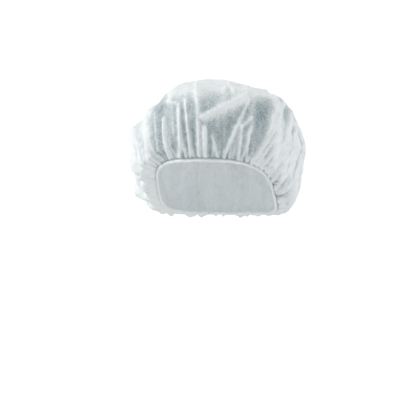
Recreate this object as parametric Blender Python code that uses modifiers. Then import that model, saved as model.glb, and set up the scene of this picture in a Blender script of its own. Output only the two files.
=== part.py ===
"""A disposable hair cover cap of spunbond fabric, in the puffed form that it has when worn.

It is one round sheet, gathered all round its edge into a narrow hem, with a thin elastic loop in the hem.
The front is at -Y, the left is at +X and +Z is up. The origin is on the inner side of the crown's top.
"""

import math
import random
from collections import namedtuple

import bmesh
import bpy
from mathutils import Vector

MM = 0.001

# The hem's line: how far it is from the upright axis at the sides, front and back, and how far it falls to the back.
BAND_SIDE_REACH = 70 * MM
BAND_FRONT_REACH = 96 * MM
BAND_BACK_REACH = 92 * MM
BAND_FALL = 68 * MM

# The puffed crown, from the same axis, and its height over the front of the hem.
CROWN_SIDE_REACH = 104 * MM
CROWN_FRONT_REACH = 110 * MM
CROWN_BACK_REACH = 131 * MM
CROWN_RISE = 95 * MM
PLAN_SQUARENESS = 2.15

# The cloth, and the elastic that runs in its hem.
CLOTH_THICKNESS = 1.0 * MM
ELASTIC_WIDTH = 2.4 * MM
ELASTIC_THICKNESS = 1.2 * MM
HEM_CLEARANCE = 0.3 * MM
HEM_CLOSING = 0.8 * MM
HEM_ROUNDING = 0.7

# The gathers that the elastic draws into the edge. Depths and tops are shares, tops of the way up the crown.
GATHER_COUNT = 28
POINTS_PER_GATHER = 4
GATHER_DEPTH = 3.4 * MM
GATHER_SPREAD = 0.22
GATHER_DEPTHS = (0.75, 1.25)
GATHER_TOPS = (0.3, 0.62)
GATHER_SEED = 11

# Over the front the main folds take the gathers' place: how wide that is, and how much the gathers lose there.
FRONT_HALF_TURN = 0.8
FRONT_DEPTH_LOSS = 0.3
FRONT_TOP_LOSS = 0.6

# Where, as shares of the way from the hem to the top, folds start, are whole, and have died away.
GATHERS_WHOLE = 0.1
RIDGES_START = 0.02
RIDGES_WHOLE = 0.14
FOLDS_FADE = 0.85
RIDGE_TAPER = 0.6

# The crown's rows of faces, closer together near the hem, and the elastic's faces.
BODY_ROWS = 19
FIRST_ROW = 0.045
ROW_CROWDING = 1.15
ELASTIC_SIDES = 6
ELASTIC_POINTS = 72
NORMAL_STEP = 0.02

SPUNBOND_WHITE = (0.86, 0.9, 0.91)
ELASTIC_CREAM = (0.86, 0.83, 0.72)

BandRow = namedtuple("BandRow", "turn fall")
LineRow = namedtuple("LineRow", "way band crown height")
RidgeRow = namedtuple("RidgeRow", "foot_x foot_z head_x head_z lift width")
SwellRow = namedtuple("SwellRow", "turn way lift turn_width way_width")

# How much of BAND_FALL the hem has fallen at each turn from the front (0) to the back (180 degrees).
BAND_LINE = (
    BandRow(0, 0.0),
    BandRow(25, 0.03),
    BandRow(45, 0.13),
    BandRow(60, 0.24),
    BandRow(75, 0.41),
    BandRow(90, 0.68),
    BandRow(112, 0.87),
    BandRow(145, 0.97),
    BandRow(180, 1.0),
)

# The crown's line from the hem (way 0) to its top (way 1), seen from the side, in four directions.
# A row's reach is band times the hem's reach plus crown times the crown's, and height is a share of the
# height of the top over the hem there.
CROWN_LINES = {
    "front": (
        LineRow(0.0, 1.0, 0.0, 0.0),
        LineRow(0.06, 0.79, 0.21, 0.06),
        LineRow(0.14, 0.43, 0.57, 0.16),
        LineRow(0.26, 0.07, 0.93, 0.35),
        LineRow(0.4, 0.0, 1.0, 0.57),
        LineRow(0.54, 0.0, 0.95, 0.78),
        LineRow(0.68, 0.0, 0.8, 0.91),
        LineRow(0.82, 0.0, 0.53, 0.97),
        LineRow(0.92, 0.0, 0.25, 0.995),
        LineRow(1.0, 0.0, 0.0, 1.0),
    ),
    "right": (
        LineRow(0.0, 1.0, 0.0, 0.0),
        LineRow(0.03, 0.81, 0.19, -0.03),
        LineRow(0.07, 0.55, 0.45, -0.045),
        LineRow(0.13, 0.36, 0.64, 0.04),
        LineRow(0.26, 0.2, 0.8, 0.26),
        LineRow(0.37, 0.05, 0.95, 0.45),
        LineRow(0.44, 0.0, 0.97, 0.55),
        LineRow(0.5, 0.0, 0.83, 0.63),
        LineRow(0.57, 0.0, 0.66, 0.71),
        LineRow(0.66, 0.0, 0.46, 0.805),
        LineRow(0.76, 0.0, 0.31, 0.9),
        LineRow(0.88, 0.0, 0.16, 0.97),
        LineRow(1.0, 0.0, 0.0, 1.0),
    ),
    "left": (
        LineRow(0.0, 1.0, 0.0, 0.0),
        LineRow(0.03, 0.85, 0.15, -0.022),
        LineRow(0.07, 0.67, 0.33, -0.03),
        LineRow(0.12, 0.53, 0.47, 0.04),
        LineRow(0.2, 0.36, 0.64, 0.16),
        LineRow(0.3, 0.19, 0.81, 0.32),
        LineRow(0.39, 0.02, 0.96, 0.46),
        LineRow(0.46, 0.0, 0.93, 0.57),
        LineRow(0.53, 0.0, 0.89, 0.67),
        LineRow(0.61, 0.0, 0.83, 0.79),
        LineRow(0.67, 0.0, 0.71, 0.86),
        LineRow(0.77, 0.0, 0.5, 0.92),
        LineRow(0.92, 0.0, 0.17, 0.975),
        LineRow(1.0, 0.0, 0.0, 1.0),
    ),
    "back": (
        LineRow(0.0, 1.0, 0.0, 0.0),
        LineRow(0.035, 0.8, 0.2, -0.017),
        LineRow(0.075, 0.54, 0.46, -0.017),
        LineRow(0.16, 0.23, 0.77, 0.09),
        LineRow(0.28, 0.02, 0.98, 0.3),
        LineRow(0.4, 0.0, 1.0, 0.5),
        LineRow(0.5, 0.0, 0.95, 0.67),
        LineRow(0.62, 0.0, 0.79, 0.84),
        LineRow(0.75, 0.0, 0.55, 0.935),
        LineRow(0.88, 0.0, 0.27, 0.985),
        LineRow(1.0, 0.0, 0.0, 1.0),
    ),
}

# How quickly the front's and back's lines give way to the sides' lines between the four directions.
LINE_BLEND = 3

# The main folds of the front, each from its foot near the hem to its head. X is a share of the crown's side
# reach and Z of the rise, lift a share of the gathers' depth and width a share of the side reach.
FRONT_RIDGES = (
    RidgeRow(0.06, -0.98, 0.02, -0.45, 1.7, 0.06),
    RidgeRow(0.02, -0.45, -0.02, 0.02, 0.9, 0.07),
    RidgeRow(0.03, -0.49, 0.56, -0.13, 1.5, 0.075),
    RidgeRow(0.29, -0.98, 0.58, -0.2, 1.7, 0.055),
    RidgeRow(0.44, -0.99, 0.5, -0.61, 1.5, 0.05),
    RidgeRow(0.5, -0.61, 0.63, -0.45, 1.2, 0.055),
    RidgeRow(0.21, -0.98, 0.14, -0.7, 1.2, 0.05),
    RidgeRow(-0.12, -0.98, -0.15, -0.3, 1.5, 0.055),
    RidgeRow(-0.26, -0.98, -0.25, -0.3, 1.4, 0.055),
    RidgeRow(-0.39, -0.94, -0.44, -0.55, 1.4, 0.055),
    RidgeRow(-0.52, -1.0, -0.6, -0.4, 1.3, 0.06),
    RidgeRow(0.63, -1.12, 0.82, -0.62, 1.2, 0.06),
    RidgeRow(0.68, -1.26, 0.88, -0.83, 1.1, 0.06),
    RidgeRow(0.7, -1.38, 0.88, -1.08, 1.0, 0.06),
)

# Broad swells and hollows, by turn in degrees to the left and way up the crown. Lifts and hollows are shares
# of the crown's side reach.
SWELLS = (
    SwellRow(98, 0.6, -0.05, 12, 0.05),
    SwellRow(82, 0.66, 0.04, 14, 0.06),
    SwellRow(118, 0.42, 0.03, 16, 0.14),
    SwellRow(-78, 0.47, 0.03, 16, 0.06),
    SwellRow(-112, 0.25, -0.035, 12, 0.12),
    SwellRow(-135, 0.45, 0.03, 20, 0.14),
    SwellRow(150, 0.3, -0.035, 12, 0.16),
    SwellRow(178, 0.5, 0.025, 16, 0.12),
    SwellRow(-30, 0.6, 0.015, 14, 0.09),
    SwellRow(14, 0.68, -0.035, 22, 0.04),
)


def bell(distance, width):
    """1 at no distance, falling smoothly towards 0 past the width."""
    return math.exp(-((distance / width) ** 2))


def eased(value, low, high):
    """0 below low, 1 above high, and a smooth rise between."""
    share = min(1.0, max(0.0, (value - low) / (high - low)))
    return share * share * (3 - 2 * share)


def read_row(rows, key, place, column):
    """A column of a table, read on a smooth curve through its rows."""
    places = [getattr(row, key) for row in rows]
    values = [getattr(row, column) for row in rows]
    last = len(rows) - 1
    at = min(last - 1, max(0, sum(p <= place for p in places) - 1))
    slopes = []
    for i in (at, at + 1):
        before, after = max(0, i - 1), min(last, i + 1)
        slopes.append((values[after] - values[before]) / (places[after] - places[before]))
    step = places[at + 1] - places[at]
    s = (place - places[at]) / step
    return (
        values[at] * (1 + 2 * s) * (1 - s) ** 2
        + values[at + 1] * s * s * (3 - 2 * s)
        + slopes[0] * step * s * (1 - s) ** 2
        - slopes[1] * step * s * s * (1 - s)
    )


def oval_reach(turn, side, front, back, squareness):
    """How far an egg-shaped plan reaches from the axis at a turn."""
    end = front if math.cos(turn) > 0 else back
    ahead = (abs(math.cos(turn)) / end) ** squareness
    aside = (abs(math.sin(turn)) / side) ** squareness
    return (ahead + aside) ** (-1 / squareness)


def band_reach(turn):
    """How far the hem is from the axis."""
    return oval_reach(turn, BAND_SIDE_REACH, BAND_FRONT_REACH, BAND_BACK_REACH, 2)


def band_height(turn):
    """The hem's height, which is under the top and so less than 0."""
    degrees = abs(math.degrees(math.remainder(turn, 2 * math.pi)))
    return -CROWN_RISE - BAND_FALL * read_row(BAND_LINE, "turn", degrees, "fall")


def crown_share(turn, way, column):
    """A column of CROWN_LINES between the four directions."""
    end = "front" if math.cos(turn) > 0 else "back"
    side = "left" if math.sin(turn) > 0 else "right"
    ahead = abs(math.cos(turn)) ** LINE_BLEND
    end_share = read_row(CROWN_LINES[end], "way", way, column)
    side_share = read_row(CROWN_LINES[side], "way", way, column)
    return ahead * end_share + (1 - ahead) * side_share


def plan_point(turn, reach, height):
    """The point at a turn to the left of straight ahead."""
    return Vector((reach * math.sin(turn), -reach * math.cos(turn), height))


def smooth_crown(turn, way):
    """The crown without its folds."""
    crown = oval_reach(turn, CROWN_SIDE_REACH, CROWN_FRONT_REACH, CROWN_BACK_REACH, PLAN_SQUARENESS)
    reach = band_reach(turn) * crown_share(turn, way, "band") + crown * crown_share(turn, way, "crown")
    return plan_point(turn, reach, band_height(turn) * (1 - crown_share(turn, way, "height")))


def crown_normal(turn, way):
    """The crown's outward direction."""
    low, high = max(0.0, way - NORMAL_STEP), min(1 - NORMAL_STEP, way + NORMAL_STEP)
    middle = (low + high) / 2
    across = smooth_crown(turn + NORMAL_STEP, middle) - smooth_crown(turn - NORMAL_STEP, middle)
    return across.cross(smooth_crown(turn, high) - smooth_crown(turn, low)).normalized()


def from_ridge(point, ridge):
    """How far a point of the front is from a ridge's line, and how far along it."""
    foot = Vector((ridge.foot_x * CROWN_SIDE_REACH, ridge.foot_z * CROWN_RISE))
    head = Vector((ridge.head_x * CROWN_SIDE_REACH, ridge.head_z * CROWN_RISE))
    line, out = head - foot, Vector((point.x, point.z)) - foot
    along = out.dot(line) / line.length_squared
    nearest = foot + line * min(1.0, max(0.0, along))
    return (Vector((point.x, point.z)) - nearest).length, along


def ridge_lift(point):
    """How far the front's main folds lift the cloth there."""
    front = eased(-point.y, 0, CROWN_FRONT_REACH / 4)
    lift = 0.0
    for ridge in FRONT_RIDGES:
        distance, along = from_ridge(point, ridge)
        taper = 1 - RIDGE_TAPER * eased(along, 0.4, 1.1)
        lift += ridge.lift * taper * bell(distance, ridge.width * CROWN_SIDE_REACH)
    return lift * GATHER_DEPTH * front


def swell_lift(turn, way):
    """How far the broad swells and hollows move the cloth there."""
    degrees = math.degrees(turn)
    lift = 0.0
    for swell in SWELLS:
        aside = math.remainder(degrees - swell.turn, 360)
        lift += swell.lift * bell(aside, swell.turn_width) * bell(way - swell.way, swell.way_width)
    return lift * CROWN_SIDE_REACH


class Gathers:
    """The pleats along the hem: where each has its valley and crest, how deep it is and how far up it runs."""

    def __init__(self):
        chance = random.Random(GATHER_SEED)
        widths = [1 + chance.uniform(-GATHER_SPREAD, GATHER_SPREAD) for _ in range(GATHER_COUNT)]
        scale = 2 * math.pi / sum(widths)
        self.turns, self.ripples, self.depths, self.tops = [], [], [], []
        start = -math.pi
        for width in widths:
            depth, top = chance.uniform(*GATHER_DEPTHS), chance.uniform(*GATHER_TOPS)
            front = bell(start, FRONT_HALF_TURN)
            for point in range(POINTS_PER_GATHER):
                share = (point + 0.5) / POINTS_PER_GATHER
                self.turns.append(start + width * scale * share)
                self.ripples.append(-math.sqrt(2) * math.cos(2 * math.pi * share))
                self.depths.append(depth * (1 - FRONT_DEPTH_LOSS * front))
                self.tops.append(top * (1 - FRONT_TOP_LOSS * front))
            start += width * scale

    def lift(self, column, way):
        """How far the pleats move the cloth out at one column of points."""
        top = self.tops[column]
        shown = eased(way, 0, GATHERS_WHOLE) * (1 - eased(way, top / 3, top))
        return GATHER_DEPTH * self.depths[column] * self.ripples[column] * shown


def crown_point(gathers, column, way):
    """The middle of the crown's cloth at one column of points."""
    turn = gathers.turns[column]
    point = smooth_crown(turn, way)
    lift = gathers.lift(column, way) + swell_lift(turn, way)
    lift += ridge_lift(point) * eased(way, RIDGES_START, RIDGES_WHOLE)
    return point + crown_normal(turn, way) * lift * (1 - eased(way, FOLDS_FADE, 1))


def hem_frame(turn):
    """The hem's middle, the way that the cloth leaves it, and its outward direction, at a turn."""
    middle = smooth_crown(turn, 0)
    leaving = (smooth_crown(turn, NORMAL_STEP) - middle).normalized()
    return middle, leaving, crown_normal(turn, 0)


def hem_section():
    """The fold of cloth round the elastic, from its raw edge inside to the crown: (outward, leaving) pairs."""
    aside = ELASTIC_THICKNESS / 2 + HEM_CLEARANCE + CLOTH_THICKNESS / 2
    below = ELASTIC_WIDTH / 2 + HEM_CLEARANCE + CLOTH_THICKNESS / 2
    pinch = (HEM_CLEARANCE + CLOTH_THICKNESS) / 2
    return (
        (-pinch, below + HEM_CLOSING),
        (-aside, below / 4),
        (-aside * HEM_ROUNDING, -below),
        (aside * HEM_ROUNDING, -below),
        (aside, below / 4),
        (pinch, below + HEM_CLOSING),
    )


def mesh_object(name, built, material, collection):
    """Makes a Blender object of a bmesh."""
    mesh = bpy.data.meshes.new(name)
    built.to_mesh(mesh)
    built.free()
    mesh.materials.append(material)
    mesh.shade_smooth()
    made = bpy.data.objects.new(name, mesh)
    collection.objects.link(made)
    return made


def bridge(built, lower, upper):
    """Faces between two rings of points."""
    for i, corner in enumerate(lower):
        after = (i + 1) % len(lower)
        built.faces.new((corner, lower[after], upper[after], upper[i]))


def crown_rows(gathers):
    """The crown's rings of points, from the hem's raw edge inside to the ring below the top."""
    columns = range(len(gathers.turns))
    frames = [hem_frame(gathers.turns[column]) for column in columns]
    rows = []
    for out, up in hem_section():
        rows.append([middle + outward * out + leaving * up for middle, leaving, outward in frames])
    for row in range(BODY_ROWS - 1):
        way = FIRST_ROW + (1 - FIRST_ROW) * (row / (BODY_ROWS - 1)) ** ROW_CROWDING
        rows.append([crown_point(gathers, column, way) for column in columns])
    return rows


def make_crown(material, collection):
    """The round sheet: an open surface through the middle of the cloth, given its thickness by Solidify."""
    built = bmesh.new()
    rings = [[built.verts.new(point) for point in row] for row in crown_rows(Gathers())]
    for lower, upper in zip(rings, rings[1:]):
        bridge(built, lower, upper)
    top = built.verts.new((0, 0, CLOTH_THICKNESS / 2))
    last = rings[-1]
    for i, corner in enumerate(last):
        built.faces.new((corner, last[(i + 1) % len(last)], top))
    crown = mesh_object("crown", built, material, collection)
    cloth = crown.modifiers.new("cloth", "SOLIDIFY")
    cloth.thickness = CLOTH_THICKNESS
    cloth.offset = 0


def make_elastic(material, collection):
    """The elastic: a flat oval section carried once round the hem."""
    built = bmesh.new()
    rings = []
    for i in range(ELASTIC_POINTS):
        middle, leaving, outward = hem_frame(2 * math.pi * i / ELASTIC_POINTS)
        ring = []
        for side in range(ELASTIC_SIDES):
            angle = 2 * math.pi * side / ELASTIC_SIDES
            aside = outward * math.sin(angle) * ELASTIC_THICKNESS / 2
            ring.append(built.verts.new(middle + aside + leaving * math.cos(angle) * ELASTIC_WIDTH / 2))
        rings.append(ring)
    for lower, upper in zip(rings, rings[1:] + rings[:1]):
        bridge(built, lower, upper)
    bmesh.ops.recalc_face_normals(built, faces=built.faces)
    mesh_object("elastic_loop", built, material, collection)


def make_material(name, colour, roughness):
    """A Principled material."""
    material = bpy.data.materials.new(name)
    material.use_nodes = True
    shader = material.node_tree.nodes["Principled BSDF"]
    shader.inputs["Base Color"].default_value = (*colour, 1)
    shader.inputs["Roughness"].default_value = roughness
    shader.inputs["Metallic"].default_value = 0
    return material


def main():
    for old in list(bpy.data.objects):
        bpy.data.objects.remove(old)
    cap = bpy.data.collections.new("hair_cover_cap")
    bpy.context.scene.collection.children.link(cap)
    make_crown(make_material("spunbond", SPUNBOND_WHITE, 0.75), cap)
    make_elastic(make_material("elastic", ELASTIC_CREAM, 0.6), cap)


main()
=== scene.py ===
# %% [markdown]
# # A disposable hair cover cap
# The cap is one round piece of thin spunbond cloth. Its whole edge is drawn together on a thin elastic,
# so the cloth puffs up over the hair and falls in small folds to the hem. A solid model of it is already
# there. It has the right size and place, but its cloth is thick and plain. This lesson dresses it: a fine
# sheet takes the solid's form, gets its gathers and folds, is settled as real cloth, and is given its hem
# and its finish.

# %% Load the solid model
import math

import bmesh
import bpy
import numpy as np
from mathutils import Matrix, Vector
from mathutils.bvhtree import BVHTree


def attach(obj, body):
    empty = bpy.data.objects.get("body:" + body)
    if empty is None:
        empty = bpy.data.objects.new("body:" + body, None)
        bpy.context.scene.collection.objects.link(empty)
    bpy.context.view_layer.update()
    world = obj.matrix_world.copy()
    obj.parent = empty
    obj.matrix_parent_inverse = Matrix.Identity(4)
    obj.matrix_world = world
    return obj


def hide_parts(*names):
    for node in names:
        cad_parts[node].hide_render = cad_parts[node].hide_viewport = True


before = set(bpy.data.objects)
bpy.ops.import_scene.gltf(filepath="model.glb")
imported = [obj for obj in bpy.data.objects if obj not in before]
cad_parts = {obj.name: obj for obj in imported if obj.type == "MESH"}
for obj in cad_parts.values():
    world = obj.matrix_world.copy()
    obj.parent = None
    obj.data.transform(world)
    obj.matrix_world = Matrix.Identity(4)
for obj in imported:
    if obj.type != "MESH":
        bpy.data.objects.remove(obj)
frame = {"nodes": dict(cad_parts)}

MM = 0.001
scene = bpy.context.scene
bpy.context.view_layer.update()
print("nodes:", ", ".join(frame["nodes"]))

# %% [markdown]
# ## Where the cloth runs
# The real cap starts as a flat disc, so the sheet does too, and each of its points is carried to where it
# sits on the worn cap. To know where that is, rays are sent out from a hub inside the solid crown, in
# slices all round, like the segments of an orange. The places where they meet the crown's inner wall are
# joined into lines from the pole, the disc's middle, down to the hem. Every line is measured along the
# cloth, so the sheet isn't stretched where the crown curves. The hub is behind the highest point, so that
# the lines to the front and to the back are about as long, as on a real disc.

# %% The hem's line
HUB = Vector((0, 36, -84)) * MM
HEM_READINGS = 72


def hem_line():
    """The middle of the elastic at even turns about the hub, read from its solid."""
    found = {}
    for vert in frame["nodes"]["elastic_loop"].data.vertices:
        corner = vert.co - HUB
        reading = round(math.atan2(corner.x, -corner.y) / math.tau * HEM_READINGS)
        found.setdefault(reading, []).append(corner)
    middles = [sum(corners, Vector()) / len(corners) for corners in found.values()]
    ring = sorted((math.atan2(middle.x, -middle.y), *(middle + HUB)) for middle in middles)
    return np.array(ring)


ring = hem_line()


def hem_at(turns):
    """The middle of the elastic at each turn about the hub."""
    columns = [np.interp(turns, ring[:, 0], ring[:, axis], period=math.tau) for axis in (1, 2, 3)]
    return np.stack(columns, axis=-1)


def hem_frame(turns):
    """At each turn: the hem's middle, the way across the band and the way out of it."""
    middle = hem_at(turns)
    along = hem_at(turns + 0.02) - hem_at(turns - 0.02)
    along /= np.linalg.norm(along, axis=-1, keepdims=True)
    across = np.array([0, 0, 1]) - along * along[..., 2:]
    across /= np.linalg.norm(across, axis=-1, keepdims=True)
    return middle, across, np.cross(along, across)


low, high = round(ring[:, 3].min() / MM), round(ring[:, 3].max() / MM)
print("hem readings:", len(ring), "from z", low, "to", high, "mm")

# %% Slices through the crown
SLICES = 240
STEPS = 96
HEM_TUCK = 1.7 * MM
RAYS_END_ABOVE_HEM = math.radians(5)


def crown_tree():
    """A tree of the solid crown's faces, to send rays at. A copy of its mesh is merged first."""
    copy = bmesh.new()
    copy.from_mesh(frame["nodes"]["crown"].data)
    bmesh.ops.remove_doubles(copy, verts=copy.verts, dist=1e-6)
    tree = BVHTree.FromBMesh(copy)
    copy.free()
    return tree


def slice_line(tree, turn):
    """The crown's line in one slice, from the pole to the hem, in even steps along the cloth."""
    out = Vector((math.sin(turn), -math.cos(turn), 0))
    middle, across, _ = hem_frame(np.array([turn]))
    hem = Vector(middle[0] + across[0] * HEM_TUCK)
    low = math.atan2((hem - HUB).dot(out), (hem - HUB).z)
    places = []
    for step in range(STEPS):
        tilt = (low - RAYS_END_ABOVE_HEM) * step / (STEPS - 1)
        hit = tree.ray_cast(HUB, out * math.sin(tilt) + Vector((0, 0, math.cos(tilt))))[0]
        if hit:
            places.append(tuple(hit))
    places = np.array(places + [tuple(hem)])
    reached = np.concatenate([[0], np.cumsum(np.linalg.norm(np.diff(places, axis=0), axis=1))])
    even = np.linspace(0, reached[-1], STEPS)
    return np.stack([np.interp(even, reached, places[:, axis]) for axis in range(3)], axis=-1)


tree = crown_tree()
slice_turns = np.arange(SLICES) / SLICES * math.tau - math.pi
form = np.array([slice_line(tree, turn) for turn in slice_turns])
form[:, 0] = form[:, 0].mean(axis=0)
line_lengths = np.linalg.norm(np.diff(form, axis=1), axis=2).sum(axis=1)
print("pole to hem, mm:", round(line_lengths.min() / MM), "to", round(line_lengths.max() / MM))

# %% [markdown]
# The solid's wide, even pleats are only a stand-in for the real ones. A little smoothing round the crown
# leaves the big swells and takes away those pleats. Then one function gives the place of any point of the
# cloth from its turn and its share of the way from the pole to the hem, and the way out of the cloth
# there.

# %% A place for every point of the cloth
SMOOTHING_ROUNDS = 3

for _ in range(SMOOTHING_ROUNDS):
    form[:, 1:-1] = (np.roll(form, 1, 0) + 2 * form + np.roll(form, -1, 0))[:, 1:-1] / 4


def on_form(turn, way):
    """The place at a turn, and at a share of the way from the pole to the hem."""
    column = (turn / math.tau + 0.5) * SLICES
    row = np.clip(way, 0, 1) * (STEPS - 1)
    left = np.floor(column).astype(int)
    low = np.minimum(np.floor(row).astype(int), STEPS - 2)
    aside, along = (column - left)[:, None], (row - low)[:, None]
    near = form[left % SLICES, low] * (1 - aside) + form[(left + 1) % SLICES, low] * aside
    far = form[left % SLICES, low + 1] * (1 - aside) + form[(left + 1) % SLICES, low + 1] * aside
    return near * (1 - along) + far * along


def out_of_form(turn, way):
    """The way out of the cloth there."""
    round_it = on_form(turn + 0.03, way) - on_form(turn - 0.03, way)
    down_it = on_form(turn, way + 0.02) - on_form(turn, way - 0.02)
    out = np.cross(round_it, down_it)
    size = np.linalg.norm(out, axis=1, keepdims=True)
    return np.where(size > 1e-12, -out / np.maximum(size, 1e-12), np.array([0, 0, 1.0]))


def eased(value, low, high):
    """Rises from 0 at low to 1 at high, with soft ends."""
    share = np.clip((value - low) / (high - low), 0, 1)
    return share * share * (3 - 2 * share)


probe = out_of_form(np.array([0.0, math.pi / 2, math.pi]), np.array([0.6, 0.6, 0.6]))
print("ways out at the front, left and back:", np.round(probe, 2).tolist())

# %% [markdown]
# ## The cut disc
# Such caps are cut as a disc, and 19 inches, 483 mm, suits this one. A grid is a quick start for anything
# that goes round: one of its ways becomes the turn and the other the radius, and where its two sides
# meet, and at the pole, the double points are merged. The flat place of every point is kept in a UV map,
# in metres, so that the cloth's own pattern follows the cloth through every fold.

# %% Roll up the disc
CUT_RADIUS = 241.5 * MM
SPOKES = 400
RINGS = 60
EDGE_CROWDING = 1.12


def rolled(around, along, place):
    """A grid with its points put where place(turn, share) says, and its meeting sides merged."""
    grid = bmesh.new()
    bmesh.ops.create_grid(grid, x_segments=around, y_segments=along, size=1)
    for vert in grid.verts:
        vert.co = place(vert.co.x * math.pi, vert.co.y / 2 + 0.5)
    bmesh.ops.remove_doubles(grid, verts=grid.verts, dist=1e-7)
    bmesh.ops.recalc_face_normals(grid, faces=grid.faces)
    return grid


def flat_place(turn, share):
    """A point of the flat disc. The rings are a little closer together towards the edge."""
    radius = CUT_RADIUS * (1 - max(0.0, 1 - share) ** EDGE_CROWDING)
    return radius * math.sin(turn), -radius * math.cos(turn), 0


def cut_disc():
    """The flat disc, facing up, with its flat places in a UV map."""
    disc = rolled(SPOKES, RINGS, flat_place)
    if sum(face.normal.z for face in disc.faces) < 0:
        bmesh.ops.reverse_faces(disc, faces=disc.faces)
    places = disc.loops.layers.uv.new("cut")
    for face in disc.faces:
        for corner in face.loops:
            corner[places].uv = corner.vert.co.xy
    return disc


disc = cut_disc()
flat = np.array([vert.co for vert in disc.verts])
cut_way = np.hypot(flat[:, 0], flat[:, 1]) / CUT_RADIUS
cut_turn = np.arctan2(flat[:, 0], -flat[:, 1])
print("disc:", len(disc.verts), "points,", len(disc.faces), "faces")

# %% [markdown]
# ## Carry the disc to the worn cap
# Round the hem the gathers are spread evenly along the elastic, and at the pole the cloth keeps its own
# angles. So a point's turn is a blend of the two, more and more the hem's towards the edge.

# %% The turn of each point on the worn cap
hem_turns = np.linspace(-math.pi, math.pi, 721)
hem_steps = np.linalg.norm(np.diff(hem_at(hem_turns), axis=0), axis=1)
hem_run = np.concatenate([[0], np.cumsum(hem_steps)])
HEM_LENGTH = hem_run[-1]
TURN_BLEND = 1.5


def worn_turn(turn, way):
    """The turn about the hub of a point of the disc."""
    even = np.interp((turn / math.tau + 0.5) * HEM_LENGTH, hem_run, hem_turns)
    return turn + (even - turn) * way**TURN_BLEND


turn = worn_turn(cut_turn, cut_way)
base = on_form(turn, cut_way)
out = out_of_form(turn, cut_way)
girth = np.hypot(base[:, 0] - HUB.x, base[:, 1] - HUB.y)
down_to_hem = (1 - cut_way) * np.interp(turn, slice_turns, line_lengths, period=math.tau)
gathered_to = round(math.tau * CUT_RADIUS / HEM_LENGTH, 1)
print("hem length, mm:", round(HEM_LENGTH / MM), "gathered", gathered_to, "to 1")

# %% [markdown]
# ## Gathers
# The disc's edge is 2.7 times as long as the elastic, so the cloth stands up from the hem in narrow
# pleats. Higher up they run together into fewer and wider ones, and some reach nearly to the top.
# Spunbond keeps a sharp crest where it's folded, with a broad hollow beside it. Each family of pleats is
# spread unevenly round the hem, and each pleat has its own reach, width, lift and lean. A seeded
# generator makes them the same each run.

# %% Families of pleats
CREST_SOFTNESS = 0.16
chance = np.random.default_rng(19)


def crest(aside):
    """A fold's section: a narrow crest with hollow flanks, 1 at the crest."""
    return np.exp(-np.sqrt(aside * aside + CREST_SOFTNESS) + math.sqrt(CREST_SOFTNESS))


def pleats(count, reach, width, growth, lift, lean):
    """How far a family of pleats lifts each point. Sizes in mm, the lean in mm aside for each mm up."""
    result = np.zeros(len(flat))
    up = down_to_hem / MM
    spread = (np.arange(count) + chance.uniform(-0.42, 0.42, count)) / count * math.tau
    for start in spread:
        own_reach = reach[0] + (reach[1] - reach[0]) * chance.random() ** 1.6
        own_width = width * chance.uniform(0.7, 1.4)
        own_lift = lift * chance.uniform(0.55, 1.25)
        own_lean = lean * chance.uniform(-1, 1)
        bend = chance.uniform(-0.5, 0.5) * own_lean
        drift = own_lean * up + bend * up * np.sin(up / own_reach * 3.0)
        aside = np.remainder(cut_turn - start + math.pi, math.tau) - math.pi
        aside = aside * girth / MM - drift * (1 - 0.35 * cut_way)
        rise = eased(up, 0, 6) * (1 - eased(up, 0.45 * own_reach, own_reach))
        height = own_lift * rise * crest(aside / (own_width + growth * up))
        result = np.maximum(result, height)
    return result


fine = pleats(count=104, reach=(16, 46), width=1.4, growth=0.015, lift=3.6, lean=0.2)
middle = pleats(count=84, reach=(34, 125), width=1.4, growth=0.03, lift=5.4, lean=0.16)
long = pleats(count=34, reach=(100, 225), width=2.2, growth=0.04, lift=6.8, lean=0.14)
gathers = fine + middle + long
print("gathers lift the cloth, mm: most", round(gathers.max(), 1), "mean", round(gathers.mean(), 1))

# %% [markdown]
# ## The front's own folds
# Seen from the front, a few folds give this cap its face: a straight crease from the top down to the hem
# with a flat pleat beside it, a broad fold that lies slanting across the upper right, and thin bright
# ridges that run down to the hem. Each is a line between two points of that view, in mm to the right of
# the cap's middle and up from its top, with a width for each of its sides, so that one side can fall off
# sharply like an overlap.

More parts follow.
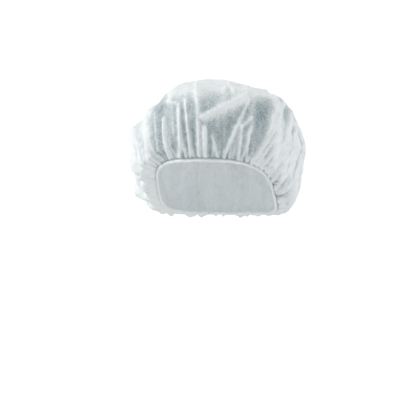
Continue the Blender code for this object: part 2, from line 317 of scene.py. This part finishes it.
# %% Lines of the main folds
VIEW_TURN = math.radians(12)
SIDEWAYS = np.array([math.cos(VIEW_TURN), math.sin(VIEW_TURN), 0])
TOWARDS_VIEW = np.array([math.sin(VIEW_TURN), -math.cos(VIEW_TURN), 0])
MAIN_LIFT = 1.7
END_FADE = 4  # mm
MAIN_FOLDS = (
    # foot across, foot up, head across, head up, width left, width right, lift
    (-20.5, -94.0, -22.5, -49.0, 1.6, 3.5, 2.4),
    (-22.5, -49.0, -24.4, -4.0, 1.8, 4.5, 1.8),
    (-12.5, -94.0, -14.0, -58.0, 4.5, 1.8, 2.6),
    (-17.9, -46.0, 31.5, -22.0, 2.6, 6.5, 3.0),
    (6.3, -94.0, 22.0, -58.0, 2.2, 1.6, 2.8),
    (22.0, -58.0, 35.1, -27.0, 1.8, 2.0, 2.4),
    (23.7, -96.0, 27.9, -57.5, 2.6, 1.4, 2.6),
    (27.9, -57.5, 37.5, -47.8, 2.2, 1.8, 2.0),
    (0.9, -93.0, -5.8, -68.3, 2.0, 1.5, 2.0),
    (-30.6, -93.0, -32.0, -73.5, 1.5, 1.5, 2.4),
    (-32.0, -73.5, -36.4, -28.2, 1.7, 2.0, 2.3),
    (-42.0, -93.0, -43.1, -36.5, 3.0, 1.8, 2.4),
    (-54.3, -94.0, -61.3, -73.4, 1.5, 2.0, 2.2),
    (-61.3, -73.4, -62.8, -48.8, 1.5, 2.2, 2.0),
    (-50.3, -65.4, -52.1, -31.0, 1.6, 1.8, 1.4),
    (33.1, -98.0, 36.0, -65.5, 1.6, 1.2, 1.8),
    (39.9, -97.0, 66.4, -60.5, 2.4, 1.6, 3.4),
    (45.4, -101.0, 70.1, -66.2, 1.6, 1.6, 2.8),
    (50.9, -106.0, 73.5, -71.7, 2.0, 1.4, 3.2),
    (54.9, -111.0, 77.9, -77.8, 1.6, 1.6, 2.8),
    (58.9, -116.0, 82.5, -83.3, 2.0, 1.6, 3.2),
    (62.5, -123.0, 86.5, -92.3, 1.8, 1.6, 2.8),
    (65.5, -133.0, 88.5, -106.3, 2.0, 1.8, 3.0),
    (66.0, -60.0, 78.0, -30.0, 3.0, 2.2, 2.6),
    (81.0, -76.0, 90.0, -40.0, 3.0, 2.6, 2.6),
    (90.0, -128.0, 94.0, -66.0, 3.0, 2.6, 2.4),
    (-68.2, -84.0, -74.8, -40.0, 1.8, 2.4, 1.6),
    (-77.7, -130.0, -84.3, -60.0, 2.4, 3.0, 1.6),
    (-25.9, -92.0, -19.2, -77.6, 0.9, 0.9, 1.3),
    (-19.2, -94.0, -24.5, -84.3, 0.9, 0.9, 1.2),
    (-5.8, -94.0, -16.5, -84.3, 0.9, 0.9, 1.3),
    (-10.0, -92.0, -3.0, -85.0, 0.9, 0.9, 1.0),
    (12.0, -95.0, 16.0, -78.0, 1.0, 1.0, 1.4),
    (35.1, -27.0, 34.0, -9.0, 1.6, 1.6, 1.3),
    (38.9, -20.0, 64.2, -14.5, 1.8, 1.8, 1.3),
    (-56.7, -27.2, -44.8, -30.8, 1.7, 1.9, 1.7),
)


def main_folds():
    """How far the front's main folds lift each point."""
    seen = np.stack([base @ SIDEWAYS, base[:, 2]], axis=-1) / MM
    facing = eased(out @ TOWARDS_VIEW, -0.1, 0.25) * eased(base @ TOWARDS_VIEW / MM, 0, 40)
    result = np.zeros(len(flat))
    for foot_x, foot_z, head_x, head_z, left, right, lift in MAIN_FOLDS:
        foot, line = np.array([foot_x, foot_z]), np.array([head_x - foot_x, head_z - foot_z])
        length = np.hypot(*line)
        line = line / length
        along = (seen - foot) @ line
        aside = (seen - foot) @ np.array([line[1], -line[0]])
        beyond = np.maximum(0, np.maximum(-along, along - length))
        section = crest(np.where(aside < 0, aside / left, aside / right))
        section = section * np.exp(-((beyond / END_FADE) ** 2))
        result = np.maximum(result, MAIN_LIFT * lift * section)
    return result * facing * eased(down_to_hem / MM, 0, 6)


front_folds = main_folds()
print("points on the main folds:", int((front_folds > 1).sum()))

# %% [markdown]
# Between those folds, at some places the density is taken down: the cloth lets more of the space behind
# show, and its colour is painted darker there, as painted shade. And at two places under the rim the cloth
# falls a few mm inside the solid's smooth form. Both are soft spots in the same view: where they are, how
# wide and how high, and how strong.

# %% Spots of thin cloth and painted shade, and slack places
PAINTED_SHADE_PLACES = (
    # across, up, half width, half height, share of the density taken away, thinning the cloth and painting
    # shade
    (51, -42, 11, 15, 0.34), (9, -22, 14, 5, 0.26), (36, -80, 3.5, 11, 0.34), (0, -72, 9, 15, 0.26),
    (-67, -76, 5, 17, 0.3), (-38, -66, 3, 24, 0.26), (-27, -64, 3, 24, 0.26), (-50, -80, 5, 12, 0.22),
    (18, -52, 9, 8, 0.2), (50, -84, 7, 7, 0.2), (14, -85, 4, 8, 0.2), (-20, -30, 3, 14, 0.12),
    (-6, -89, 50, 6, 0.3), (24, -92, 26, 6, 0.25),
    (70, -118, 6, 17, 0.6), (84, -100, 3, 30, 0.35), (78, -62, 4, 22, 0.45), (90, -72, 3, 22, 0.4),
)
SLACK_PLACES = (
    # across, up, half width, half height, mm inside the form
    (-92, -38, 26, 24, 7.0), (66, -8, 24, 16, 4.5),
)


def soft_spots(rows):
    """The sum of soft round spots, as seen from the front."""
    across, up = base @ SIDEWAYS / MM, base[:, 2] / MM
    result = np.zeros(len(base))
    for place, height, half_width, half_height, strength in rows:
        away = ((across - place) / half_width) ** 2 + ((up - height) / half_height) ** 2
        result += strength * np.exp(-away)
    return result


# Painted shade: these spots take density away, which thins the cloth and paints its colour darker.
thin_painted_shade_spots = soft_spots(PAINTED_SHADE_PLACES) * eased(out @ TOWARDS_VIEW, 0, 0.3)
slack = soft_spots(SLACK_PLACES) * eased(down_to_hem / MM, 0, 30) * eased(-base[:, 1] / MM, -100, -50)
print("tightest", round(thin_painted_shade_spots.max(), 2), "most slack, mm", round(slack.max(), 1))

# %% [markdown]
# The crests stand out from the solid's form and the hollows lie inside it, so that the cap keeps its
# outline. So the lift of every point is measured from the average of the patch of cloth round it. The
# gathers are calmer under the main folds, on the underside and on the front's puffed part, and deeper
# towards the back. At the pole the lift fades out, because all the spokes meet there.

# %% Shape the sheet
PATCHES_ROUND = 40
PATCHES_DOWN = 10
CALM_UNDER_MAIN = 0.75
FRONT_CALM = 0.72
UNDERSIDE_CALM = 0.62
DEEPER_BEHIND = 0.68
POLE_FADE = 0.08


def patch_average(values):
    """The average of the values over broad patches of the disc, blended from patch to patch."""
    column, row = (cut_turn / math.tau + 0.5) * PATCHES_ROUND, cut_way * (PATCHES_DOWN - 1)
    nearest = np.round(column).astype(int) % PATCHES_ROUND, np.round(row).astype(int)
    total = np.zeros((PATCHES_ROUND, PATCHES_DOWN))
    count = np.zeros((PATCHES_ROUND, PATCHES_DOWN))
    np.add.at(total, nearest, values)
    np.add.at(count, nearest, 1)
    patch = total / np.maximum(count, 1)
    left = np.floor(column).astype(int)
    low = np.minimum(np.floor(row).astype(int), PATCHES_DOWN - 2)
    aside, along = column - left, row - low
    left, right = left % PATCHES_ROUND, (left + 1) % PATCHES_ROUND
    near = patch[left, low] * (1 - aside) + patch[right, low] * aside
    far = patch[left, low + 1] * (1 - aside) + patch[right, low + 1] * aside
    return near * (1 - along) + far * along


def sheet_points():
    """The worn place of every point, with its gathers and folds."""
    calm = 1 - CALM_UNDER_MAIN * np.clip(front_folds / 1.5, 0, 1)
    calm *= 1 - UNDERSIDE_CALM * eased(-out[:, 2], 0.1, 0.7)
    calm *= 1 - FRONT_CALM * eased(-out[:, 1], 0.2, 0.8) * eased(down_to_hem / MM, 10, 40)
    calm *= 1 + DEEPER_BEHIND * eased(out[:, 1], -0.5, 0.1)
    lift = gathers * calm + front_folds
    lift -= patch_average(lift) * eased(down_to_hem / MM, 0, 12)
    lift *= eased(cut_way, 0, POLE_FADE)
    return base + out * ((lift - slack) * MM)[:, None]


worn = sheet_points()
for vert, place in zip(disc.verts, worn):
    vert.co = place
sheet_mesh = bpy.data.meshes.new("cap_sheet")
disc.to_mesh(sheet_mesh)
disc.free()
sheet_mesh.shade_smooth()
cap_sheet = bpy.data.objects.new("cap_sheet", sheet_mesh)
scene.collection.objects.link(cap_sheet)
print("sheet box, mm:", np.round(worn.min(axis=0) / MM).tolist(), np.round(worn.max(axis=0) / MM).tolist())

# %% [markdown]
# ## Where the cloth lies double, and painted shade
# The finish needs to know how dense the cloth is at every point: 0 where it lies single and 1 where it's
# folded over itself. It's dense along the crests of the gathers, which count less on the front's puffed
# part, just above the hem and at the back, and along the main folds. The same value also paints shade,
# because thin cloth is coloured dark: the front's middle is left low and so painted darker. At the top, the
# sides and the back two layers or more lie one behind the other, so there the least density is higher,
# which paints them lighter, the picture's left more than its right.

# %% Density of the cloth, with painted shade
# The lift, in mm, that counts as folded over, and how sharply the density rises to it.
GATHERS_FULL, GATHERS_POWER = 4.3, 1.3
MAIN_FULL, MAIN_POWER = 3.6, 1.6
LESS_AT_HEM = 2.2  # mm taken from the gathers' lift there


def fold_density_and_painted_shade():
    """The density of the cloth at every point, with painted shade by region."""
    front_share = eased(-out[:, 1], 0.2, 0.7)
    back_share = eased(base[:, 1] / MM, 0, 70)
    away_from_hem = eased(down_to_hem / MM, 8, 26)
    gathered = gathers * (1 - 0.7 * front_share * away_from_hem) - LESS_AT_HEM * (1 - away_from_hem)
    result = np.clip(gathered / GATHERS_FULL, 0, 1) ** GATHERS_POWER * (1 - 0.6 * back_share)
    result += np.clip(front_folds / MAIN_FULL, 0, 1) ** MAIN_POWER
    # Painted shade by region: the top, the sides and the back are made lighter, the left more than the
    # right, and the front's middle stays dark.
    painted_shade_zone = 1 - 0.7 * back_share
    painted_shade_zone *= 1 - 0.95 * eased(base[:, 2] / MM, -38, -8)  # the top
    painted_shade_zone *= 1 - 0.22 * eased(base[:, 0] / MM, 62, 92)  # the picture's right
    painted_shade_zone *= 1 - 0.7 * eased(-base[:, 0] / MM, 48, 80)  # and its left
    return np.clip(result + 1 - painted_shade_zone, 0, 1) - thin_painted_shade_spots * (1 - np.clip(front_folds / 3, 0, 1))


density_and_painted_shade = fold_density_and_painted_shade()
density_values = sheet_mesh.attributes.new("density_and_painted_shade", "FLOAT", "POINT").data
density_values.foreach_set("value", density_and_painted_shade.astype(np.float32))
print("density, least", round(density_and_painted_shade.min(), 2), "mean", round(density_and_painted_shade.mean(), 2))

# %% [markdown]
# ## The hem
# The edge is folded over the elastic and welded along it, so the hem is a narrow puckered band. A grid is
# rolled up into a ring with a flat oval section, and then each point of the ring is carried to the hem's
# line. The lower edge is drawn up unevenly between the gathers.

# %% Roll up and place the hem
HEM_HALF_HEIGHT = 2.1 * MM
HEM_HALF_DEPTH = 1.6 * MM
HEM_SECTION_POINTS = 12
HEM_STEPS = 1200
RING_RADIUS = 100 * MM
PUCKER_HEIGHT = 0.4 * MM
PUCKER_SWELL = 0.16
SAG = 0.15 * MM


def ring_place(turn, share):
    """A point of a ring with a flat oval section."""
    radius = RING_RADIUS + HEM_HALF_DEPTH * math.cos(share * math.tau)
    return radius * math.sin(turn), -radius * math.cos(turn), HEM_HALF_HEIGHT * math.sin(share * math.tau)


def waves(turns, count, seed):
    """An uneven wave round the hem from -1 to 1, with about that many crests."""
    local = np.random.default_rng(seed)
    knots = np.linspace(-math.pi, math.pi, count * 2 + 1)
    heights = local.uniform(0.3, 1, len(knots)) * np.where(np.arange(len(knots)) % 2, 1, -1)
    heights[-1] = heights[0]
    return np.interp(turns, knots, heights)


hem_mesh = rolled(HEM_STEPS, HEM_SECTION_POINTS, ring_place)
flat_hem = np.array([vert.co for vert in hem_mesh.verts])
hem_turn = np.arctan2(flat_hem[:, 0], -flat_hem[:, 1])
even_turn = np.interp((hem_turn / math.tau + 0.5) * HEM_LENGTH, hem_run, hem_turns)
place, across, outward = hem_frame(even_turn)
high = flat_hem[:, 2:]
deep = np.hypot(flat_hem[:, 0], flat_hem[:, 1])[:, None] - RING_RADIUS
pucker = waves(even_turn, count=170, seed=3)[:, None]
lower = np.clip(-high / HEM_HALF_HEIGHT, 0, 1)
high = high + pucker * lower * PUCKER_HEIGHT + waves(even_turn, count=60, seed=4)[:, None] * SAG
deep = deep * (1 + PUCKER_SWELL * pucker)
for vert, spot in zip(hem_mesh.verts, place + across * high + outward * deep):
    vert.co = spot
bmesh.ops.recalc_face_normals(hem_mesh, faces=hem_mesh.faces)
hem_data = bpy.data.meshes.new("hem_band")
hem_mesh.to_mesh(hem_data)
hem_mesh.free()
hem_data.shade_smooth()
hem_band = bpy.data.objects.new("hem_band", hem_data)
scene.collection.objects.link(hem_band)
print("hem band:", len(hem_data.polygons), "faces")

# %% [markdown]
# ## Settle the cloth
# The modelled folds are a start. A short cloth simulation lets the sheet wrinkle by itself between them,
# because the real disc is a little longer than the modelled line: the cloth is told that it's larger than
# it is drawn. The hem and the pole are pinned, the main folds are held firmly and the rest loosely, and
# gravity is off because the cap rests on what it covers. Then no point may have moved more than a few mm,
# so that the cap keeps its outline.

# %% Run the simulation
SETTLE_FRAMES = 10
GROWTH = 0.045
MOST_MOVE = 4.5 * MM
PINNED_AT_HEM = 0.985
PINNED_AT_POLE = 0.04
LOOSE_HOLD = 0.5
FOLD_HOLD = 0.45  # added on the main folds, in full from this lift on:
FOLD_HELD_FROM = 3  # mm


def settle(obj):
    """Wrinkles the sheet with Blender's cloth, and applies the result."""
    pins = obj.vertex_groups.new(name="held")
    for index, way in enumerate(cut_way):
        hold = LOOSE_HOLD + FOLD_HOLD * min(1.0, front_folds[index] / FOLD_HELD_FROM)
        if way > PINNED_AT_HEM or way < PINNED_AT_POLE:
            hold = 1.0
        pins.add([index], float(hold), "REPLACE")
    cloth = obj.modifiers.new("cloth", "CLOTH")
    settings = cloth.settings
    settings.quality = 4
    settings.mass = 0.1
    settings.tension_stiffness = 25
    settings.compression_stiffness = 25
    settings.shear_stiffness = 8
    settings.bending_stiffness = 0.05
    settings.air_damping = 2
    settings.vertex_group_mass = "held"
    settings.pin_stiffness = 1.0
    settings.shrink_min = -GROWTH
    settings.effector_weights.gravity = 0
    cloth.collision_settings.use_collision = False
    cloth.point_cache.frame_start = 1
    cloth.point_cache.frame_end = SETTLE_FRAMES
    for frame_number in range(1, SETTLE_FRAMES + 1):
        scene.frame_set(frame_number)
    evaluated = obj.evaluated_get(bpy.context.evaluated_depsgraph_get())
    settled = np.array([vert.co for vert in evaluated.data.vertices])
    obj.modifiers.remove(cloth)
    obj.vertex_groups.remove(pins)
    scene.frame_set(1)
    return settled


moved = settle(cap_sheet) - worn
distance = np.linalg.norm(moved, axis=1)
limit = MOST_MOVE * np.tanh(distance / MOST_MOVE) / np.maximum(distance, 1e-9)
settled = worn + moved * limit[:, None]
cap_sheet.data.vertices.foreach_set("co", settled.astype(np.float32).ravel())
cap_sheet.data.update()
print("settling, mm: mean", round(distance.mean() / MM, 2), "most", round(distance.max() / MM, 1))

# 400 faces meet at the pole, and working out the exact limit surface there would take minutes.
finer = cap_sheet.modifiers.new("finer", "SUBSURF")
finer.levels = finer.render_levels = 1
finer.use_limit_surface = False

# %% [markdown]
# ## Materials
# Every material is built from a few nodes. One small function adds a node with its settings and links,
# and another turns the sRGB hex colour that a colour picker shows into the linear values that the shaders
# use.

# %% Node helpers
def linear(hex_colour):
    """Linear RGBA from an sRGB hex colour."""
    shares = [int(hex_colour[i : i + 2], 16) / 255 for i in (1, 3, 5)]
    return [s / 12.92 if s <= 0.04045 else ((s + 0.055) / 1.055) ** 2.4 for s in shares] + [1]


def add(tree, kind, settings=None, **inputs):
    """Adds a node. Every input takes a value or another node's socket.

    Its name is written with underscores, or as i and its number, such as i0, where several share a name."""
    node = tree.nodes.new("ShaderNode" + kind)
    for name, value in (settings or {}).items():
        setattr(node, name, value)
    for name, value in inputs.items():
        key = int(name[1:]) if name[0] == "i" and name[1:].isdigit() else name.replace("_", " ")
        if isinstance(value, bpy.types.NodeSocket):
            tree.links.new(value, node.inputs[key])
        else:
            node.inputs[key].default_value = value
    return node


def times_plus(tree, value, factor, more, clamp=False):
    """A value times a factor, plus more."""
    settings = {"operation": "MULTIPLY_ADD", "use_clamp": clamp}
    return add(tree, "Math", settings, i0=value, i1=factor, i2=more).outputs[0]


def new_material(name):
    """An empty material, its node tree and its output."""
    material = bpy.data.materials.new(name)
    material.use_nodes = True
    material.node_tree.nodes.clear()
    return material, material.node_tree, material.node_tree.nodes.new("ShaderNodeOutputMaterial")


# %% [markdown]
# ### Spunbond polypropylene
# The cloth is about 14 g to the square metre: endless fine filaments, laid down at random and welded
# together at small points. To the eye it's a matt milky film with a cloudy, speckled density, fine
# crossing strands, and rows of tiny bond points. Real filaments are 0.02 mm wide and bond points 1 mm
# apart, both too fine for this picture, so the strands are drawn 0.5 mm wide, the specks 1.6 mm and the
# bond points 2.4 mm apart.
#
# Light goes through the cloth, and where it lies single the space behind it shows through. Besides that,
# the dim space behind is painted into the cloth's colour as painted shade: it goes from a dark grey-blue
# for thin cloth to white for dense cloth, by the density and painted shade that were worked out for every
# point and the cloth's own pattern on top. Where the cloth is folded over itself, the pattern is weaker.

# %% Spunbond
CLOUD_SIZE = 9 * MM
STRAND_WIDTH = 0.5 * MM
SPECK_SIZE = 1.6 * MM
BOND_PITCH = 2.4 * MM
SPECK_SHARE, STRAND_SHARE, BOND_SHARE = 0.85, 0.3, -0.12
DOUBLED_SHARE = 0.85
CALMER_WHERE_DOUBLED = -0.6
LEAST_COVER = 0.66
# The thin cloth's colour is a dark grey-blue painted shade: the dim space behind, painted into the cloth.
THIN_PAINTED_SHADE, DENSE = "#42707A", "#F8FCFD"
SHINES_THROUGH = 0.16


def spunbond():
    """The cap's cloth."""
    material, tree, output = new_material("spunbond_polypropylene")
    cut_place = add(tree, "UVMap", {"uv_map": "cut"}).outputs["UV"]
    cloud = add(tree, "TexNoise", Vector=cut_place, Scale=1 / CLOUD_SIZE, Detail=3.0, Roughness=0.6)
    strands = None
    for turn_by in (20, 75, 130, 165):
        rotation = (0, 0, math.radians(turn_by))
        turned = add(tree, "Mapping", Vector=cut_place, Rotation=rotation, Scale=(1, 0.3, 1)).outputs[0]
        lines = add(tree, "TexNoise", Vector=turned, Scale=1 / (2.2 * STRAND_WIDTH), Detail=1.0)
        peak = add(tree, "MapRange", Value=lines.outputs[0], From_Min=0.5, From_Max=0.72).outputs[0]
        strands = peak if strands is None else add(
            tree, "Math", {"operation": "MAXIMUM"}, i0=strands, i1=peak
        ).outputs[0]
    bonds = add(
        tree, "TexVoronoi", {"feature": "F1"}, Vector=cut_place, Scale=1 / BOND_PITCH, Randomness=0.35
    )
    bond = add(tree, "MapRange", Value=bonds.outputs["Distance"], From_Min=0.28, From_Max=0.16).outputs[0]
    density_and_painted_shade = add(tree, "Attribute", {"attribute_name": "density_and_painted_shade"}).outputs["Fac"]
    cloudy = add(
        tree, "MapRange", Value=cloud.outputs[0], From_Min=0.32, From_Max=0.68, To_Min=-0.3, To_Max=-0.04
    )
    speck = add(tree, "TexNoise", Vector=cut_place, Scale=1 / SPECK_SIZE, Detail=2.0)
    speckled = times_plus(tree, speck.outputs[0], SPECK_SHARE, cloudy.outputs[0])
    fibre = times_plus(tree, strands, STRAND_SHARE, speckled)
    welded = times_plus(tree, bond, BOND_SHARE, fibre)
    calmer = times_plus(tree, density_and_painted_shade, CALMER_WHERE_DOUBLED, 1.0)
    grain = add(tree, "Math", {"operation": "MULTIPLY"}, i0=welded, i1=calmer).outputs[0]
    density = times_plus(tree, density_and_painted_shade, DOUBLED_SHARE, grain, clamp=True)
    cover = add(tree, "MapRange", Value=density, To_Min=LEAST_COVER, To_Max=1.0)
    # Low density is painted dark here: painted shade on top of the real see-through.
    colour = add(tree, "Mix", {"data_type": "RGBA"}, i0=density, i6=linear(THIN_PAINTED_SHADE), i7=linear(DENSE))
    relief = add(tree, "Bump", Height=fibre, Distance=0.25 * MM, Strength=0.5)
    cloth = add(
        tree, "BsdfPrincipled", Base_Color=colour.outputs[2], Roughness=0.78, IOR=1.49,
        Specular_IOR_Level=0.3, Normal=relief.outputs[0],
    )
    through = add(tree, "BsdfTranslucent", Color=colour.outputs[2], Normal=relief.outputs[0])
    lit = add(tree, "MixShader", i0=SHINES_THROUGH, i1=cloth.outputs[0], i2=through.outputs[0])
    clear = add(tree, "BsdfTransparent")
    mixed = add(tree, "MixShader", i0=cover.outputs[0], i1=clear.outputs[0], i2=lit.outputs[0])
    tree.links.new(mixed.outputs[0], output.inputs["Surface"])
    return material


cap_sheet.data.materials.append(spunbond())

# %% [markdown]
# ### The hem's cloth
# In the hem the same cloth lies several times over itself round the elastic, so it's dense and looks
# creamier. It's still matt, with the small ribs of the gathers across it.

# %% Gathered hem
def gathered_hem():
    """Dense, doubled spunbond round the elastic."""
    material, tree, output = new_material("gathered_spunbond")
    place = add(tree, "TexCoord").outputs["Object"]
    ribs = add(tree, "TexNoise", Vector=place, Scale=1 / (1.6 * MM), Detail=2.0)
    shade = add(tree, "MapRange", Value=ribs.outputs[0], From_Min=0.35, From_Max=0.65)
    colour = add(
        tree, "Mix", {"data_type": "RGBA"}, i0=shade.outputs[0], i6=linear("#F0F8F5"), i7=linear("#FBFFFD")
    )
    relief = add(tree, "Bump", Height=ribs.outputs[0], Distance=0.4 * MM, Strength=0.6)
    cloth = add(
        tree, "BsdfPrincipled", Base_Color=colour.outputs[2], Roughness=0.8, IOR=1.49,
        Normal=relief.outputs[0],
    )
    tree.links.new(cloth.outputs[0], output.inputs["Surface"])
    return material


hem_band.data.materials.append(gathered_hem())

# %% [markdown]
# ### Rubber elastic
# The elastic is a thin flat strip of natural rubber wound with white thread. It's off-white and ribbed
# across.

# %% Elastic
def covered_elastic():
    """Thread-covered rubber."""
    material, tree, output = new_material("covered_elastic")
    place = add(tree, "TexCoord").outputs["Object"]
    ribs = add(tree, "TexVoronoi", Vector=place, Scale=1 / (1.2 * MM))
    rib = ribs.outputs["Distance"]
    colour = add(tree, "Mix", {"data_type": "RGBA"}, i0=rib, i6=linear("#E9E6DA"), i7=linear("#CFCABB"))
    relief = add(tree, "Bump", Height=rib, Distance=0.2 * MM, Strength=0.6)
    thread = add(
        tree, "BsdfPrincipled", Base_Color=colour.outputs[2], Roughness=0.6, Normal=relief.outputs[0]
    )
    tree.links.new(thread.outputs[0], output.inputs["Surface"])
    return material


elastic = frame["nodes"]["elastic_loop"]
elastic.material_slots[0].material = covered_elastic()

# %% [markdown]
# ## What each piece stands for
# The sheet and its hem ride on the model's one body and take the place of the thick crown.

for piece in (cap_sheet, hem_band):
    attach(piece, "root")
    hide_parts("crown")

# %% [markdown]
# ## The studio
# The cap stands in the middle of a wide pale bowl, so the background is the same plain near-white from
# every side. The bowl's paper glows more for the camera's own rays than for others: it's seen near-white,
# and still it doesn't flood the cap with light. The key light stands at the upper left and models the
# folds. A weaker one rakes across them from the right, one behind shines through the thin edges, and a
# faint one at the front opens the hollows.

# %% Bowl
FLOOR_DROP = 0.44
BOWL_RADIUS = 4.5
BOWL_CORNER = 1.2
BOWL_HEIGHT = 5.0
CORNER_STEPS = 12
BOWL_SIDES = 96


def bowl():
    """A floor that curves up into a round wall."""
    shell = bmesh.new()
    profile = [(0.0, 0.0), (BOWL_RADIUS - BOWL_CORNER, 0.0)]
    for step in range(1, CORNER_STEPS + 1):
        angle = step / CORNER_STEPS * math.pi / 2
        across = BOWL_RADIUS - BOWL_CORNER + BOWL_CORNER * math.sin(angle)
        profile.append((across, BOWL_CORNER * (1 - math.cos(angle))))
    profile.append((BOWL_RADIUS, BOWL_HEIGHT))
    verts = [shell.verts.new((across, 0, up - FLOOR_DROP)) for across, up in profile]
    for start, end in zip(verts, verts[1:]):
        shell.edges.new((start, end))
    bmesh.ops.spin(
        shell, geom=shell.verts[:] + shell.edges[:], cent=(0, 0, 0), axis=(0, 0, 1),
        angle=math.tau, steps=BOWL_SIDES, use_merge=True,
    )
    bmesh.ops.remove_doubles(shell, verts=shell.verts, dist=1e-5)
    mesh = bpy.data.meshes.new("studio_bowl")
    shell.to_mesh(mesh)
    shell.free()
    mesh.shade_smooth()
    obj = bpy.data.objects.new("studio_bowl", mesh)
    scene.collection.objects.link(obj)
    return obj


studio_bowl = bowl()
paper, paper_tree, paper_output = new_material("backdrop_paper")
seen = add(paper_tree, "LightPath").outputs["Is Camera Ray"]
glow = add(paper_tree, "MapRange", Value=seen, To_Min=0.24, To_Max=0.8).outputs[0]
paper_face = add(
    paper_tree, "BsdfPrincipled", Base_Color=linear("#BCBCBC"), Roughness=0.9,
    Emission_Color=(1, 1, 1, 1), Emission_Strength=glow,
)
paper_tree.links.new(paper_face.outputs[0], paper_output.inputs["Surface"])
studio_bowl.data.materials.append(paper)

# %% Lights
AIM = Vector((0, 0, -0.085))


def soft_light(name, place, size, power):
    """A square white area light that points at the cap."""
    data = bpy.data.lights.new(name, "AREA")
    data.shape, data.size, data.energy = "SQUARE", size, power
    light = bpy.data.objects.new(name, data)
    light.location = place
    light.rotation_euler = (AIM - Vector(place)).to_track_quat("-Z", "Y").to_euler()
    scene.collection.objects.link(light)


soft_light("key", (-1.8, -0.9, 1.1), 0.6, 30)
soft_light("rake", (1.9, -0.2, 0.8), 0.7, 12)
soft_light("behind", (0.6, 2.2, 1.0), 0.8, 10)
soft_light("front", (0.4, -2.4, 0.1), 1.2, 4)
world = bpy.data.worlds.new("studio")
world.use_nodes = True
sky = world.node_tree.nodes["Background"].inputs
sky["Color"].default_value = (1, 1, 1, 1)
sky["Strength"].default_value = 0.4
scene.world = world
scene.view_settings.view_transform = "Standard"

# %% [markdown]
# ## The camera
# The picture was taken from about 12 degrees to the cap's left, nearly level, and from some way off, so
# the lens is long. At 2 m, 1.2 mm of the cap is one point of a picture that's 420 points wide.

# %% Camera
CAMERA_DISTANCE = 2.0
CAMERA_RISE = math.radians(2)
PICTURE_WIDTH = 420 * 1.2 * MM
SENSOR = 36.0

PICTURE_MIDDLE = -155.6 * MM
ASIDE = -8.4 * MM

back = Vector(TOWARDS_VIEW) * math.cos(CAMERA_RISE) + Vector((0, 0, math.sin(CAMERA_RISE)))
aim = Vector((0, 0, PICTURE_MIDDLE)) + Vector(SIDEWAYS) * ASIDE
camera_data = bpy.data.cameras.new("camera")
camera_data.sensor_width = SENSOR
camera_data.lens = SENSOR * CAMERA_DISTANCE / PICTURE_WIDTH
camera = bpy.data.objects.new("camera", camera_data)
camera.location = aim + back * CAMERA_DISTANCE
camera.rotation_euler = back.to_track_quat("Z", "Y").to_euler()
scene.collection.objects.link(camera)
scene.camera = camera
print("lens:", round(camera_data.lens, 1), "mm")
